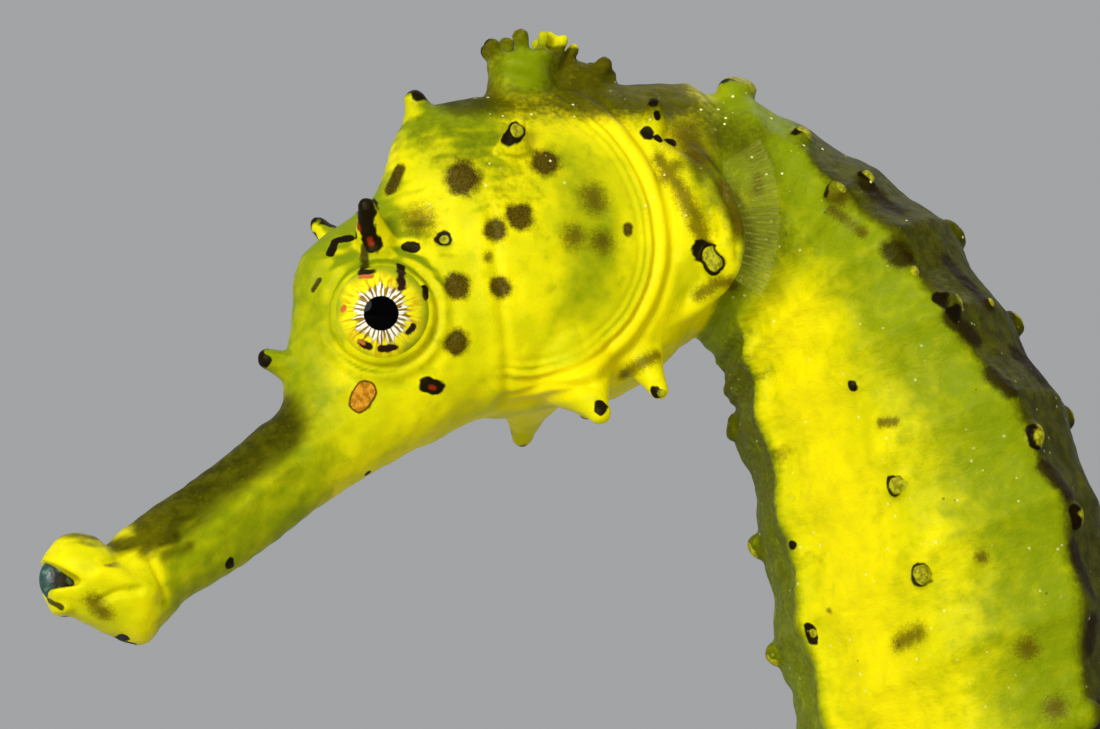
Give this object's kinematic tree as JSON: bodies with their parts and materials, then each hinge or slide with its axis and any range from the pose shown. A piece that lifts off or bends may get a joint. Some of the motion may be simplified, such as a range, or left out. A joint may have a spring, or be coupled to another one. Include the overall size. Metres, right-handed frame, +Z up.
{
  "type": "seahorse",
  "caption": "Still, life-size yellow estuary seahorse with dark spots, head turned a little to its left and tail coiled forward, held on two short rods over a round wooden display base.",
  "frame": {"origin": "centre of the underside of the round display base", "axes": "+Z up, the seahorse faces -X and its left side faces -Y"},
  "size_m": [0.051, 0.042, 0.0738],
  "materials": {
    "skin": "smooth moist skin, bright yellow to olive, with dark brown spots and black rings round the knobs",
    "eye": "wet and glossy, round black pupil with white and brown rays on a yellow iris",
    "fin": "thin and translucent, pale yellow with fine dark rays",
    "stand_wood": "dark satin-lacquered turned wood",
    "stand_steel": "fine brushed"
  },
  "bodies": {
    "root": {"jaw_upper": "skin", "jaw_lower": "skin", "snout": "skin", "head": "skin", "coronet": "skin", "gill_cover_left": "skin", "gill_cover_right": "skin", "eye_left": "eye", "eye_right": "eye", "neck": "skin", "trunk_upper": "skin", "trunk_lower": "skin", "tail_1": "skin", "tail_2": "skin", "tail_3": "skin", "tail_4": "skin", "tail_5": "skin", "fin_dorsal": "fin", "fin_anal": "fin", "fin_pectoral_left": "fin", "fin_pectoral_right": "fin", "stand_base": "stand_wood", "stand_rod_front": "stand_steel", "stand_rod_back": "stand_steel"}
  },
  "joints": []
}
